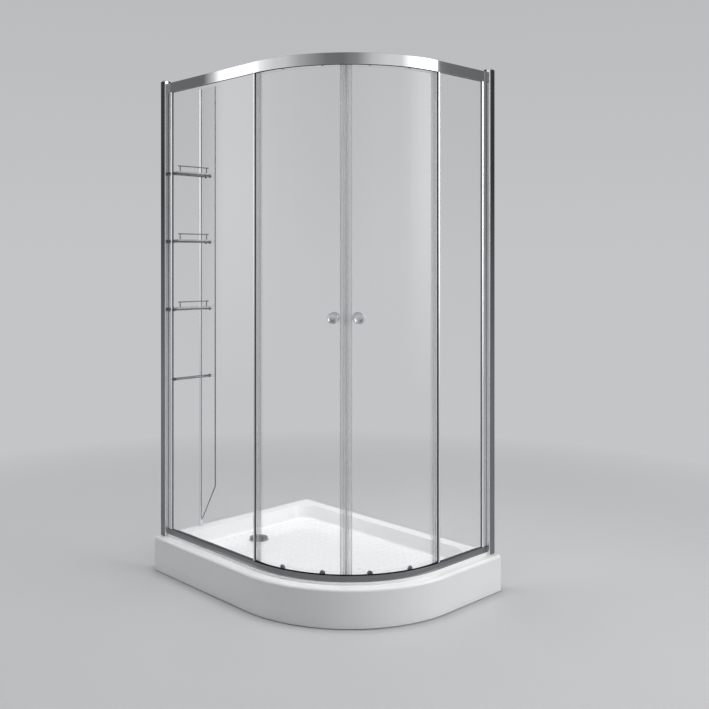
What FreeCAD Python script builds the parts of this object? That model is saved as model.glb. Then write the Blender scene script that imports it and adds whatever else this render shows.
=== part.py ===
import FreeCAD, Part
import math
import os

# Corner shower enclosure: an offset quadrant with two curved sliding doors, on a skirted tray.
# Millimetres, +Z up, origin under the middle of the tray. The side wall is the plane at the
# lowest X and the back wall is the plane at the highest Y; the round corner faces +X and -Y.
vector = FreeCAD.Vector
up = vector(0, 0, 1)
along = vector(1, 0, 0)
inward = vector(0, 1, 0)

# Overall sizes
tray_length = 1200.0
tray_width = 900.0
tray_height = 150.0
corner_radius = 550.0
rail_top_height = 2000.0
profile_rise = 12.0

# Fits that serve all pieces
overrun = 5.0
slide_fit = 0.2
running_fit = 0.05
seat_gap = 0.3

# Tray shell
skirt_wall = 6.0
floor_gap = 3.0
rim_round = 12.0
lip_depth = 42.0
basin_depth = 60.0
basin_front_inset = 118.0
basin_wall_inset = 56.0
basin_slope = 16.0
basin_corner = 80.0
basin_floor_round = 14.0

# Board, bearers and feet under the tray
board_thickness = 12.0
board_margin = 20.0
bearer_size = 25.0
bearer_wall = 2.0
bearer_wall_margin = 130.0
bearer_end_margin = 200.0
bearer_edge_margin = 230.0
foot_end_margin = 45.0
pad_radius = 25.0
pad_height = 10.0
pad_neck_radius = 11.0
pad_neck_height = 6.0
stud_radius = 6.0
stud_reach = 14.0
nut_width = 19.0
nut_height = 9.0

# Waste
waste_from_side_wall = 195.0
waste_from_back_wall = 470.0
waste_hole_radius = 36.5
waste_seal_height = 2.0
waste_flange_radius = 44.0
waste_flange_height = 2.5
waste_neck_radius = 34.0
waste_neck_wall = 4.0
waste_neck_length = 26.0
trap_flange_radius = 50.0
trap_flange_height = 4.0
trap_wall = 4.0
trap_floor_height = 12.0
trap_collar_depth = 22.0
outlet_height = 40.0
outlet_radius = 20.0
outlet_wall = 4.0
outlet_socket_depth = 36.0
outlet_reach = 116.0
outlet_step = 3.0
cover_radius = 38.5
cover_edge = 2.0
cover_dome = 4.0
cover_leg_height = 4.5
cover_leg_width = 7.0
cover_leg_length = 6.0
cover_leg_count = 3

# Rails, glass planes and the track, measured inwards from the rails' outer face
rail_inset = 45.0
rail_wall = 1.8
rail_edge_round = 1.2
jamb_wall = 1.6
glass = 6.0
gasket = 1.6
top_rail_height = 44.0
bottom_rail_height = 34.0
door_sway = 8.0
bracket_pad = 0.6
bracket_plate = 2.5
bracket_sway = 7.5
ledge_width = 14.5
track_lip_height = 15.0
wheel_head_room = 1.2

# Wall profiles, jambs, posts and their joints
channel_depth = 34.0
profile_outset = 14.0
cap_height = 4.0
jamb_reach = 64.0
jamb_back_gap = 2.2
jamb_web_place = 51.0
glass_edge_gap = 1.0
post_width = 9.0
post_setback = 9.0
wall_hole_radius = 2.75
wall_hole_shares = (0.1, 0.365, 0.635, 0.9)
block_length = 25.0
top_block_height = 18.0
bottom_block_height = 11.0
screw_radius = 2.0
screw_head_radius = 4.0
screw_head_height = 2.4
screw_depth = 10.0

# Fixed glass seats and strips
glass_top_gap = 8.0
setting_height = 3.0
setting_length = 80.0
setting_shares = (0.2, 0.8)
strip_height = 12.0
jamb_strip_width = 8.0

# Doors
door_overlap = 20.0
door_top_gap = 2.0
door_bottom_lap = 15.0
lead_stile_width = 18.0
trail_stile_width = 25.0
stile_wall = 1.6
stile_web = 2.0
magnet_width = 5.0
meeting_gap = 0.8
trail_seal_width = 5.0

# Rollers and their brackets
roller_shares = (0.35, 0.78)
roller_offsets = (12.0, 7.0)
wheel_radius = 10.0
wheel_width = 5.0
wheel_bevel = 1.0
axle_radius = 3.0
axle_shoulder = 4.5
axle_cap = 1.5
bottom_bracket_half_width = 11.0
top_bracket_half_width = 7.0
bracket_axle_margin = 6.0
bottom_bolt_edge_distance = 12.5
top_bolt_edge_distance = 10.0
bolt_head_radius = 5.0
bolt_nut_radius = 5.5
bolt_nut_height = 3.5
stop_share = 0.497
stop_length = 14.0
stop_height = 13.0

# Knobs
knob_height = 1000.0
knob_from_edge = 47.0
knob_radius = 22.0
knob_rim = 4.0
knob_depth = 15.0
knob_dish = 5.0
knob_edge_round = 3.0
knob_neck_radius = 9.0
knob_neck_length = 13.0
knob_flange_radius = 13.0
knob_flange_height = 2.0
knob_stud_radius = 4.0

# Shelf niche on the side wall
niche_space = 185.0
niche_reach = 118.0
niche_low = 28.0
niche_foot_width = 16.0
niche_cut_height = 200.0
niche_channel_wall = 1.6
niche_channel_depth = 14.0
niche_hole_shares = (0.06, 0.94)
foot_radius = 9.0
foot_slot = 9.0
shelf_heights = (1599.0, 1300.0, 1000.0)
shelf_names = ("upper", "middle", "lower")
shelf_reach = 94.0
shelf_gap = 2.0
shelf_rod_radius = 4.0
gallery_rise = 24.0
gallery_radius = 2.5
gallery_inset = 8.0
gallery_post_inset = 22.0
gallery_overhang = 10.0
towel_bar_height = 695.0
towel_bar_radius = 6.0
fixing_radius = 8.0
fixing_clearance = 2.0
fixing_height = 8.0
fixing_round = 2.5
fixing_shank_radius = 4.0

# Places that follow from the sizes above
half_length = tray_length / 2
half_width = tray_width / 2
arc_x = half_length - corner_radius
arc_y = corner_radius - half_width
rail_top = tray_height + rail_top_height
profile_top = rail_top + profile_rise
basin_floor = tray_height - basin_depth
tray_underside = basin_floor - skirt_wall
board_underside = tray_underside - board_thickness
bearer_underside = board_underside - bearer_size
bearer_start = bearer_wall_margin - half_length
bearer_stop = half_length - bearer_end_margin
bearer_spread = half_width - bearer_edge_margin
waste_x = waste_from_side_wall - half_length
waste_y = half_width - waste_from_back_wall

profile_outer = rail_inset - profile_outset
groove_outer = rail_inset + rail_wall
glass_outer = groove_outer + slide_fit + jamb_wall + gasket
glass_inner = glass_outer + glass
groove_inner = glass_inner + gasket + jamb_wall + slide_fit
box_inner = groove_inner + rail_wall
door_outer = box_inner + door_sway
door_inner = door_outer + glass
plate_outer = door_inner + bracket_pad
plate_inner = plate_outer + bracket_plate
ledge_start = plate_inner + bracket_sway
track_inner = ledge_start + ledge_width
rail_inner = track_inner + rail_wall
glass_middle = (glass_outer + glass_inner) / 2

bottom_rail_top = tray_height + bottom_rail_height
top_rail_low = rail_top - top_rail_height
ledge_top = rail_top - rail_wall - wheel_head_room - 2 * wheel_radius - seat_gap
ledge_low = ledge_top - rail_wall
top_wheel_height = ledge_top + seat_gap + wheel_radius
bottom_wheel_height = tray_height + rail_wall + seat_gap + wheel_radius
door_low = bottom_rail_top - door_bottom_lap
door_high = ledge_low - door_top_gap
top_bolt_height = door_high - top_bolt_edge_distance
bottom_bolt_height = door_low + bottom_bolt_edge_distance

side_run = arc_x + half_length
back_run = half_width - arc_y
stop_room = min(side_run, back_run) - channel_depth - block_length - stop_length
stop_distance = stop_share * stop_room
door_radius = corner_radius - (door_outer + door_inner) / 2
quarter_turn = 90.0
door_middle = quarter_turn / 2


def degrees_on_door(length):
    return math.degrees(length / door_radius)


trail_edge = -degrees_on_door(door_overlap)
lead_edge = door_middle - degrees_on_door(meeting_gap / 2 + magnet_width)


# Shape helpers
def line(start, stop):
    return Part.LineSegment(start, stop).toShape()


def arc(start, middle, stop):
    return Part.Arc(start, middle, stop).toShape()


def arc_point(radius, angle):
    turn = math.radians(angle)
    return vector(arc_x + radius * math.sin(turn), arc_y - radius * math.cos(turn), 0)


def corner_arc(radius, first, last):
    return arc(arc_point(radius, first), arc_point(radius, (first + last) / 2), arc_point(radius, last))


def raised(edges, low, high):
    face = Part.Face(Part.Wire(edges))
    face.translate(up * low)
    return face.extrude(up * (high - low))


def joined(shapes):
    return shapes[0].fuse(shapes[1:]).removeSplitter()


def box(x_range, y_range, z_range):
    sizes = [last - first for first, last in (x_range, y_range, z_range)]
    return Part.makeBox(*sizes, vector(x_range[0], y_range[0], z_range[0]))


def rod(radius, start, stop):
    return Part.makeCylinder(radius, (stop - start).Length, start, stop - start)


def spun(points, base, axis):
    # A round body from a half section of (radius, height) points about the axis through base
    corners = [vector(radius, 0, height) for radius, height in points]
    face = Part.Face(Part.makePolygon(corners + corners[:1]))
    body = face.revolve(vector(0, 0, 0), up, 360)
    body.Placement = FreeCAD.Placement(base, FreeCAD.Rotation(up, axis))
    return body


def edges_at(shape, height, test):
    found = []
    for edge in shape.Edges:
        level = edge.BoundBox
        if abs(level.ZMin - height) < running_fit and abs(level.ZMax - height) < running_fit and test(edge):
            found.append(edge)
    return found


# Plan helpers: insets are measured from the tray's outer front edge
def front_y(inset):
    return inset - half_width


def wall_x(distance):
    return distance - half_length


def band(outer, inner, low, high):
    # Strip along the rails' line, from one wall profile round the corner to the other
    far = corner_radius - outer
    near = corner_radius - inner
    start = wall_x(channel_depth)
    stop = half_width - channel_depth
    far_start = vector(start, arc_y - far, 0)
    far_stop = vector(arc_x + far, stop, 0)
    near_stop = vector(arc_x + near, stop, 0)
    near_start = vector(start, arc_y - near, 0)
    edges = [
        line(far_start, arc_point(far, 0)),
        corner_arc(far, 0, quarter_turn),
        line(arc_point(far, quarter_turn), far_stop),
        line(far_stop, near_stop),
        line(near_stop, arc_point(near, quarter_turn)),
        corner_arc(near, quarter_turn, 0),
        line(arc_point(near, 0), near_start),
        line(near_start, far_start),
    ]
    return raised(edges, low, high)


def sector(outer, inner, first, last, low, high):
    # Curved strip round the corner between two angles
    far = corner_radius - outer
    near = corner_radius - inner
    edges = [
        corner_arc(far, first, last),
        line(arc_point(far, last), arc_point(near, last)),
        corner_arc(near, last, first),
        line(arc_point(near, first), arc_point(far, first)),
    ]
    return raised(edges, low, high)


def slab(front, wall, low, high):
    # Tray plan with square ends at the walls
    far = corner_radius - front
    left = wall_x(wall)
    back = half_width - wall
    front_start = vector(left, arc_y - far, 0)
    right_stop = vector(arc_x + far, back, 0)
    back_corner = vector(left, back, 0)
    edges = [
        line(front_start, arc_point(far, 0)),
        corner_arc(far, 0, quarter_turn),
        line(arc_point(far, quarter_turn), right_stop),
        line(right_stop, back_corner),
        line(back_corner, front_start),
    ]
    return raised(edges, low, high)


def basin_outline(front, wall, corner, height):
    # Tray plan with rounded corners at the walls
    far = corner_radius - front
    left = wall_x(wall)
    right = arc_x + far
    low = arc_y - far
    back = half_width - wall
    bulge = corner * (1 - math.sqrt(0.5))
    edges = [
        line(vector(left + corner, low, 0), arc_point(far, 0)),
        corner_arc(far, 0, quarter_turn),
        line(arc_point(far, quarter_turn), vector(right, back - corner, 0)),
        arc(vector(right, back - corner, 0), vector(right - bulge, back - bulge, 0),
            vector(right - corner, back, 0)),
        line(vector(right - corner, back, 0), vector(left + corner, back, 0)),
        arc(vector(left + corner, back, 0), vector(left + bulge, back - bulge, 0),
            vector(left, back - corner, 0)),
        line(vector(left, back - corner, 0), vector(left, low + corner, 0)),
        arc(vector(left, low + corner, 0), vector(left + bulge, low + bulge, 0),
            vector(left + corner, low, 0)),
    ]
    wire = Part.Wire(edges)
    wire.translate(up * height)
    return wire


def across_corner(shape):
    # Mirror from the side-wall half of the corner to the back-wall half
    return shape.mirror(vector(arc_x, arc_y, 0), vector(1, 1, 0))


def to_back_wall(shape):
    # Mirror of what is measured from the side wall, set against the back wall
    moved = across_corner(shape)
    moved.translate(inward * (back_run - side_run))
    return moved


def on_corner(shape, angle):
    # Turn a piece modelled at the first end of the arc to its angle on it
    turned = shape.copy()
    turned.rotate(vector(arc_x, arc_y, 0), up, angle)
    return turned


# Tray and what carries it
def shower_tray():
    block = slab(0, 0, floor_gap, tray_height)
    front_edges = edges_at(block, tray_height, lambda edge: faces_front(edge, 0))
    block = block.makeFillet(rim_round, front_edges)
    basin = basin_form(0, tray_height)
    floor_edges = edges_at(basin, basin_floor, lambda edge: True)
    basin = basin.makeFillet(basin_floor_round, floor_edges)
    lip_low = tray_height - lip_depth
    lower_hollow = slab(skirt_wall, -overrun, floor_gap - overrun, lip_low)
    upper_hollow = slab(skirt_wall, skirt_wall, lip_low, tray_height - skirt_wall)
    hollow = joined([lower_hollow, upper_hollow]).cut(basin_form(skirt_wall, tray_height))
    drain = rod(waste_hole_radius, vector(waste_x, waste_y, tray_underside - overrun),
                vector(waste_x, waste_y, basin_floor + overrun))
    return block.cut([basin, hollow, drain]).removeSplitter()


def faces_front(edge, inset):
    # True for the edges of a tray slab on its exposed front, round the corner to the back wall
    start = edge.valueAt(edge.FirstParameter)
    stop = edge.valueAt(edge.LastParameter)
    return all(on_front(point, inset) for point in (start, stop))


def on_front(point, inset):
    radius = corner_radius - inset
    along_front = abs(point.y - (arc_y - radius)) < running_fit and point.x < arc_x + running_fit
    along_end = abs(point.x - (arc_x + radius)) < running_fit and point.y > arc_y - running_fit
    return along_front or along_end


def basin_form(wall, top):
    # The basin's hollow, or with a wall its outer form below the rim
    share = (top - basin_floor + wall) / basin_depth
    upper = basin_outline(basin_front_inset - wall + basin_slope * (1 - share),
                          basin_wall_inset - wall + basin_slope * (1 - share), basin_corner + wall, top)
    lower = basin_outline(basin_front_inset - wall + basin_slope,
                          basin_wall_inset - wall + basin_slope, basin_corner + wall, basin_floor - wall)
    return Part.makeLoft([upper, lower], True, True)


def base_board():
    front = basin_front_inset + basin_slope + board_margin
    wall = basin_wall_inset + basin_slope + board_margin
    outline = basin_outline(front, wall, basin_corner, board_underside)
    board = Part.Face(outline).extrude(up * board_thickness)
    room = rod(trap_flange_radius + overrun, vector(waste_x, waste_y, board_underside - overrun),
               vector(waste_x, waste_y, tray_underside + overrun))
    return board.cut(room)


def bearer(y):
    half = bearer_size / 2
    bore = half - bearer_wall
    tube = box((bearer_start, bearer_stop), (y - half, y + half), (bearer_underside, board_underside))
    hollow = box((bearer_start - overrun, bearer_stop + overrun), (y - bore, y + bore),
                 (bearer_underside + bearer_wall, board_underside - bearer_wall))
    holes = [rod(stud_radius + slide_fit, vector(x, y, bearer_underside - overrun),
                 vector(x, y, bearer_underside + bearer_wall + overrun)) for x in foot_places()]
    return tube.cut([hollow] + holes)


def foot_places():
    first = bearer_start + foot_end_margin
    last = bearer_stop - foot_end_margin
    return [first, (first + last) / 2, last]


def foot_points():
    return [(x, y) for y in (-bearer_spread, bearer_spread) for x in foot_places()]


def levelling_feet():
    neck_top = pad_height + pad_neck_height
    profile = [(0, 0), (pad_radius, 0), (pad_radius, pad_height / 2), (pad_neck_radius, pad_height),
               (pad_neck_radius, neck_top), (stud_radius, neck_top),
               (stud_radius, bearer_underside + stud_reach), (0, bearer_underside + stud_reach)]
    return Part.makeCompound([spun(profile, vector(x, y, 0), up) for x, y in foot_points()])


def foot_nuts():
    nuts = []
    for x, y in foot_points():
        corner = nut_width / math.sqrt(3)
        turns = [math.radians(60 * side) for side in range(7)]
        points = [vector(x + corner * math.cos(turn), y + corner * math.sin(turn), 0) for turn in turns]
        hexagon = Part.Face(Part.makePolygon(points))
        hexagon.translate(up * (bearer_underside - nut_height))
        nut = hexagon.extrude(up * nut_height)
        bore = rod(stud_radius + running_fit, vector(x, y, bearer_underside - nut_height - overrun),
                   vector(x, y, bearer_underside + overrun))
        nuts.append(nut.cut(bore))
    return Part.makeCompound(nuts)


# Waste
def waste_seal():
    inner = waste_neck_radius + slide_fit
    top = basin_floor + waste_seal_height
    profile = [(inner, basin_floor), (waste_flange_radius, basin_floor),
               (waste_flange_radius, top), (inner, top)]
    return spun(profile, vector(waste_x, waste_y, 0), up)


def waste_flange():
    low = basin_floor + waste_seal_height
    top = low + waste_flange_height
    bore = waste_neck_radius - waste_neck_wall
    profile = [(bore, low - waste_neck_length), (waste_neck_radius, low - waste_neck_length),
               (waste_neck_radius, low), (waste_flange_radius, low),
               (waste_flange_radius, low + waste_flange_height / 2),
               (waste_flange_radius - waste_flange_height, top), (bore, top)]
    return spun(profile, vector(waste_x, waste_y, 0), up)


def waste_trap():
    collar = waste_neck_radius + slide_fit
    cup_outer = collar + 2 * trap_wall
    cup_inner = collar + trap_wall
    flange_low = tray_underside - trap_flange_height
    collar_low = tray_underside - trap_collar_depth
    floor_top = trap_floor_height + trap_wall
    profile = [(0, trap_floor_height), (cup_outer, trap_floor_height), (cup_outer, flange_low),
               (trap_flange_radius, flange_low), (trap_flange_radius, tray_underside),
               (collar, tray_underside), (collar, collar_low), (cup_inner, collar_low),
               (cup_inner, floor_top), (0, floor_top)]
    cup = spun(profile, vector(waste_x, waste_y, 0), up)
    middle = vector(waste_x, waste_y, outlet_height)
    mouth = middle - along * outlet_reach
    cup_floor = vector(waste_x, waste_y, floor_top)
    hollow = rod(cup_inner, cup_floor, vector(waste_x, waste_y, collar_low))
    throat = rod(collar, cup_floor, vector(waste_x, waste_y, tray_underside))
    spout = rod(outlet_radius + outlet_wall, middle, mouth).cut([hollow, throat])
    duct = rod(outlet_radius - outlet_step, middle, mouth - along * overrun)
    socket = rod(outlet_radius, mouth + along * outlet_socket_depth, mouth - along * overrun)
    return joined([cup, spout]).cut([duct, socket])


def waste_cover():
    low = basin_floor + waste_seal_height + waste_flange_height
    under = low + cover_leg_height
    edge_top = under + cover_edge
    crown = edge_top + cover_dome
    half = cover_radius / 2
    ball_radius = (cover_radius ** 2 + cover_dome ** 2) / (2 * cover_dome)
    half_way = crown - ball_radius + math.sqrt(ball_radius ** 2 - half ** 2)
    edges = [
        line(vector(0, 0, under), vector(cover_radius, 0, under)),
        line(vector(cover_radius, 0, under), vector(cover_radius, 0, edge_top)),
        arc(vector(cover_radius, 0, edge_top), vector(half, 0, half_way), vector(0, 0, crown)),
        line(vector(0, 0, crown), vector(0, 0, under)),
    ]
    dome = Part.Face(Part.Wire(edges)).revolve(vector(0, 0, 0), up, 360)
    outer = cover_radius - cover_edge
    leg_side = cover_leg_width / 2
    leg = box((outer - cover_leg_length, outer), (-leg_side, leg_side), (low, edge_top))
    legs = []
    for number in range(cover_leg_count):
        turned = leg.copy()
        turned.rotate(vector(0, 0, 0), up, 360 * number / cover_leg_count)
        legs.append(turned)
    cover = joined([dome] + legs)
    cover.translate(vector(waste_x, waste_y, 0))
    return cover


# Wall profiles, jambs and posts: plan boxes given by distance from the side wall and by inset
def upright(wall_range, inset_range, z_range):
    x_range = [wall_x(distance) for distance in wall_range]
    y_range = [front_y(inset) for inset in inset_range]
    return box(x_range, y_range, z_range)


def wall_profile():
    # Channel for the jamb, with a hollow box on its outside that covers the rails' ends
    z_range = (tray_height, profile_top - cap_height)
    pieces = [
        upright((0, rail_wall), (profile_outer, box_inner), z_range),
        upright((0, channel_depth), (profile_outer, profile_outer + rail_wall), z_range),
        upright((channel_depth - rail_wall, channel_depth), (profile_outer, groove_outer), z_range),
        upright((0, channel_depth), (rail_inset, groove_outer), z_range),
        upright((0, channel_depth), (groove_inner, box_inner), z_range),
    ]
    holes = [rod(wall_hole_radius, vector(wall_x(-overrun), front_y(glass_middle), height),
                 vector(wall_x(rail_wall + overrun), front_y(glass_middle), height))
             for height in wall_hole_heights()]
    holes += [block_screw_hole(height) for height in (top_block_middle(), bottom_block_middle())]
    return joined(pieces).cut(holes)


def wall_hole_heights():
    span = profile_top - cap_height - tray_height
    return [tray_height + share * span for share in wall_hole_shares]


def profile_cap():
    cap = upright((0, channel_depth), (profile_outer, box_inner), (profile_top - cap_height, profile_top))
    edges = edges_at(cap, profile_top, lambda edge: edge.CenterOfMass.x > wall_x(rail_wall))
    return cap.makeFillet(cap_height / 2, edges)


def jamb():
    z_range = (bottom_rail_top, top_rail_low)
    outer = groove_outer + slide_fit
    inner = groove_inner - slide_fit
    wall_range = (rail_wall + jamb_back_gap, jamb_reach)
    return joined([
        upright(wall_range, (outer, outer + jamb_wall), z_range),
        upright(wall_range, (inner - jamb_wall, inner), z_range),
        upright((jamb_web_place, jamb_web_place + jamb_wall), (outer, inner), z_range),
    ])


def post():
    # Slim edge profile pressed on the free edge of a fixed pane
    z_range = (bottom_rail_top, top_rail_low)
    outer = glass_outer - slide_fit - jamb_wall
    inner = glass_inner + slide_fit + jamb_wall
    reach = (post_start(), post_stop())
    return joined([
        upright(reach, (outer, outer + jamb_wall), z_range),
        upright(reach, (inner - jamb_wall, inner), z_range),
        upright((post_stop() - jamb_wall, post_stop()), (outer, inner), z_range),
    ])


def post_start():
    return post_stop() - post_width


def post_stop():
    # Free edge of the fixed pane, set back from where the rails start to bend
    return side_run - post_setback


# Rails
def top_rail():
    rail = joined([
        band(rail_inset, groove_outer, top_rail_low, rail_top),
        band(groove_inner, box_inner, top_rail_low, rail_top),
        band(rail_inset, rail_inner, rail_top - rail_wall, rail_top),
        band(track_inner, rail_inner, ledge_low, rail_top),
        band(ledge_start, rail_inner, ledge_low, ledge_top),
    ])
    edges = edges_at(rail, rail_top, lambda edge: faces_front(edge, rail_inset))
    return rail.makeFillet(rail_edge_round, edges).cut(both_ends(lock_screw_hole(top_block_middle())))


def bottom_rail():
    rail = joined([
        band(rail_inset, groove_outer, tray_height, bottom_rail_top),
        band(groove_inner, box_inner, tray_height, bottom_rail_top),
        band(rail_inset, rail_inner, tray_height, tray_height + rail_wall),
        band(track_inner, rail_inner, tray_height, tray_height + track_lip_height),
    ])
    edges = edges_at(rail, bottom_rail_top, lambda edge: faces_front(edge, rail_inset))
    return rail.makeFillet(rail_edge_round, edges).cut(both_ends(lock_screw_hole(bottom_block_middle())))


def both_ends(shape):
    return [shape, to_back_wall(shape)]


def top_block_middle():
    return rail_top - rail_wall - slide_fit - top_block_height / 2


def bottom_block_middle():
    return tray_height + rail_wall + slide_fit + bottom_block_height / 2


def block_screw_start(height):
    # Inside the wall profile's channel, where the jamb leaves room above and below
    return vector(wall_x(channel_depth / 2), front_y(groove_inner), height)


def lock_screw_start(height):
    return vector(wall_x(channel_depth + block_length / 2), front_y(rail_inner), height)


def block_screw_hole(height):
    start = block_screw_start(height)
    stop = start + inward * (rail_wall + screw_depth)
    return rod(screw_radius + running_fit, start - inward * overrun, stop)


def lock_screw_hole(height):
    start = lock_screw_start(height)
    stop = start - inward * (rail_wall + screw_depth)
    return rod(screw_radius + running_fit, start + inward * overrun, stop)


def end_block(middle, height):
    half = height / 2
    block = upright((0, channel_depth + block_length), (box_inner, track_inner - slide_fit),
                    (middle - half, middle + half))
    return block.cut([block_screw_hole(middle), lock_screw_hole(middle)])


def rail_end_blocks():
    blocks = [end_block(top_block_middle(), top_block_height),
              end_block(bottom_block_middle(), bottom_block_height)]
    return Part.makeCompound(blocks + [to_back_wall(block) for block in blocks])


def screw(start, direction):
    head = screw_head_height
    reach = rail_wall + screw_depth - seat_gap
    profile = [(0, -head), (screw_head_radius - head / 2, -head), (screw_head_radius, -head / 2),
               (screw_head_radius, 0), (screw_radius, 0), (screw_radius, reach), (0, reach)]
    return spun(profile, start, direction)


def rail_screws():
    screws = []
    for height in (top_block_middle(), bottom_block_middle()):
        screws.append(screw(block_screw_start(height), inward))
        screws.append(screw(lock_screw_start(height), -inward))
    return Part.makeCompound(screws + [to_back_wall(item) for item in screws])


def door_stops():
    stop = upright((side_run - stop_distance - stop_length, side_run - stop_distance),
                   (ledge_start, track_inner), (ledge_top, ledge_top + stop_height))
    return Part.makeCompound([stop, across_corner(stop)])


# Fixed glass: modelled beside the side wall with its own run, then mirrored for the back wall
def glass_start(run):
    return side_run - run + jamb_web_place + jamb_wall + glass_edge_gap


def glass_stop():
    return post_stop() - jamb_wall - glass_edge_gap


def glass_low():
    return tray_height + rail_wall + setting_height


def fixed_glass(run):
    z_range = (glass_low(), rail_top - rail_wall - glass_top_gap)
    return upright((glass_start(run), glass_stop()), (glass_outer, glass_inner), z_range)


def left_fixed_glass():
    return fixed_glass(side_run).cut(fixing_holes(front_bars(), glass_outer, glass_inner))


def right_fixed_glass():
    return across_corner(fixed_glass(back_run))


def panel_strips(run):
    start = side_run - run + jamb_reach
    stop = post_start()
    length = glass_stop() - glass_start(run)
    rail_faces = ((groove_outer, glass_outer), (glass_inner, groove_inner))
    upright_faces = ((glass_outer - gasket, glass_outer), (glass_inner, glass_inner + gasket))
    rail_levels = ((bottom_rail_top - strip_height, bottom_rail_top),
                   (top_rail_low, top_rail_low + strip_height))
    strips = [upright((start, stop), faces, levels) for faces in rail_faces for levels in rail_levels]
    strips += [upright((start - jamb_strip_width, start), faces, (bottom_rail_top, top_rail_low))
               for faces in upright_faces]
    half = setting_length / 2
    for share in setting_shares:
        middle = glass_start(run) + share * length
        strips.append(upright((middle - half, middle + half), (glass_outer, glass_inner),
                              (tray_height + rail_wall, glass_low())))
    return strips


def glazing_strips():
    back_strips = [across_corner(strip) for strip in panel_strips(back_run)]
    return Part.makeCompound(panel_strips(side_run) + back_strips)


# Doors: modelled on the side-wall half of the corner, then mirrored
def roller_angles():
    return [trail_edge + share * (lead_edge - trail_edge) for share in roller_shares]


def knob_angle():
    return door_middle - degrees_on_door(knob_from_edge)


def across_glass(radius, angle, height, start, stop):
    # Round pin square to the door glass, between two insets
    pin = rod(radius, vector(arc_x, front_y(start), height), vector(arc_x, front_y(stop), height))
    return on_corner(pin, angle)


def door_glass():
    first = trail_edge + degrees_on_door(stile_web + glass_edge_gap)
    last = lead_edge - degrees_on_door(stile_web + glass_edge_gap)
    pane = sector(door_outer, door_inner, first, last, door_low, door_high)
    bolt_room = bolt_head_radius + slide_fit
    holes = [across_glass(bolt_room, angle, height, door_outer - overrun, door_inner + overrun)
             for angle in roller_angles() for height in (top_bolt_height, bottom_bolt_height)]
    holes.append(across_glass(knob_stud_radius + slide_fit, knob_angle(), tray_height + knob_height,
                              door_outer - overrun, door_inner + overrun))
    return pane.cut(holes)


def stile(first, last, slot_first, slot_last):
    outer = door_outer - slide_fit - stile_wall
    inner = door_inner + slide_fit + stile_wall
    body = sector(outer, inner, first, last, door_low, door_high)
    slot = sector(door_outer - slide_fit, door_inner + slide_fit, slot_first, slot_last,
                  door_low - overrun, door_high + overrun)
    return body.cut(slot)


def lead_stile():
    first = lead_edge - degrees_on_door(lead_stile_width)
    slot_first = lead_edge - degrees_on_door(lead_stile_width + overrun)
    return stile(first, lead_edge, slot_first, lead_edge - degrees_on_door(stile_web))


def trail_stile():
    last = trail_edge + degrees_on_door(trail_stile_width)
    slot_last = trail_edge + degrees_on_door(trail_stile_width + overrun)
    return stile(trail_edge, last, trail_edge + degrees_on_door(stile_web), slot_last)


def magnet_seal():
    last = lead_edge + degrees_on_door(magnet_width)
    return sector(door_outer, door_inner, lead_edge, last, door_low, door_high)


def trail_seal():
    first = trail_edge - degrees_on_door(trail_seal_width)
    return sector(door_outer, door_inner, first, trail_edge, door_low, door_high)


def bracket(angle, axle_height, bolt_height):
    y_range = (front_y(plate_outer), front_y(plate_inner))
    low, high = sorted((axle_height, bolt_height))
    half = top_bracket_half_width if bolt_height == top_bolt_height else bottom_bracket_half_width
    ends = [(bolt_height, half), (axle_height, bracket_axle_margin)]
    rounds = [rod(radius, vector(arc_x, y_range[0], height), vector(arc_x, y_range[1], height))
              for height, radius in ends]
    neck = bracket_axle_margin
    web = box((arc_x - neck, arc_x + neck), y_range, (low, high))
    plate = joined([web] + rounds)
    holes = [rod(axle_radius + running_fit, vector(arc_x, front_y(plate_outer - overrun), height),
                 vector(arc_x, front_y(plate_inner + overrun), height)) for height, radius in ends]
    return on_corner(plate.cut(holes), angle)


def roller_seats():
    # Angle, axle offset from the bracket, and heights of axle and bolt, for each of a door's rollers
    seats = []
    levels = ((top_wheel_height, top_bolt_height), (bottom_wheel_height, bottom_bolt_height))
    for axle_height, bolt_height in levels:
        for angle, offset in zip(roller_angles(), roller_offsets):
            seats.append((angle, offset, axle_height, bolt_height))
    return seats


def roller_brackets():
    return Part.makeCompound([bracket(angle, axle, bolt) for angle, offset, axle, bolt in roller_seats()])


def axle(angle, offset, height):
    wheel_first = bracket_plate + offset
    wheel_last = wheel_first + wheel_width + 2 * seat_gap
    profile = [(0, -axle_cap), (axle_shoulder, -axle_cap), (axle_shoulder, 0), (axle_radius, 0),
               (axle_radius, bracket_plate), (axle_shoulder, bracket_plate), (axle_shoulder, wheel_first),
               (axle_radius, wheel_first), (axle_radius, wheel_last), (axle_shoulder, wheel_last),
               (axle_shoulder, wheel_last + axle_cap), (0, wheel_last + axle_cap)]
    return on_corner(spun(profile, vector(arc_x, front_y(plate_outer), height), inward), angle)


def glass_bolt(angle, height):
    glass_end = glass + bracket_pad
    plate_end = glass_end + bracket_plate
    profile = [(0, 0), (bolt_head_radius, 0), (bolt_head_radius, glass_end), (axle_radius, glass_end),
               (axle_radius, plate_end), (bolt_nut_radius, plate_end),
               (bolt_nut_radius, plate_end + bolt_nut_height), (0, plate_end + bolt_nut_height)]
    return on_corner(spun(profile, vector(arc_x, front_y(door_outer), height), inward), angle)


def roller_pins():
    pins = [axle(angle, offset, height) for angle, offset, height, bolt in roller_seats()]
    pins += [glass_bolt(angle, height) for angle, offset, wheel, height in roller_seats()]
    return Part.makeCompound(pins)


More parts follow.
